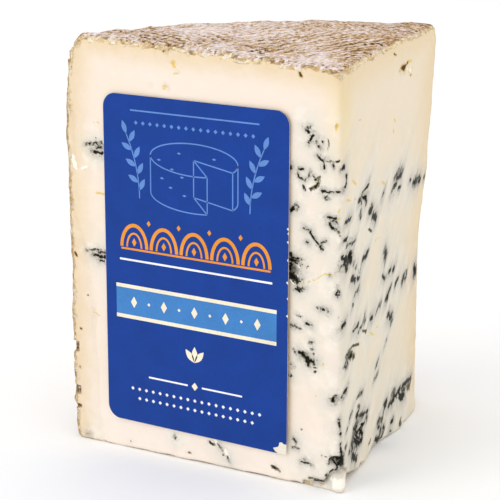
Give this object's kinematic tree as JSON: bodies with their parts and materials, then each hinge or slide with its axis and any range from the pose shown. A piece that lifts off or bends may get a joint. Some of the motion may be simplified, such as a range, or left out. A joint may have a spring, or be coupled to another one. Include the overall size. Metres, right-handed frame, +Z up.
{
  "type": "blue cheese wedge",
  "caption": "Wedge of blue-veined cheese with a natural rind, cut from a tall wheel, with a paper label on one cut face; stands on its base.",
  "frame": {"origin": "middle of the footprint of the bounding box, on the surface the wedge stands on", "axes": "+Z up the wheel's axis; the labelled cut faces -Y, with the apex at its +X end and the rind at its -X end"},
  "size_m": [0.0964, 0.094, 0.1278],
  "materials": {
    "cheese": "cream paste with blue-grey veins, slightly moist, and a dry grey-brown rind",
    "label": "blue printed paper with a faint sheen"
  },
  "bodies": {
    "root": {"cheese": "cheese", "label": "label"}
  },
  "joints": []
}
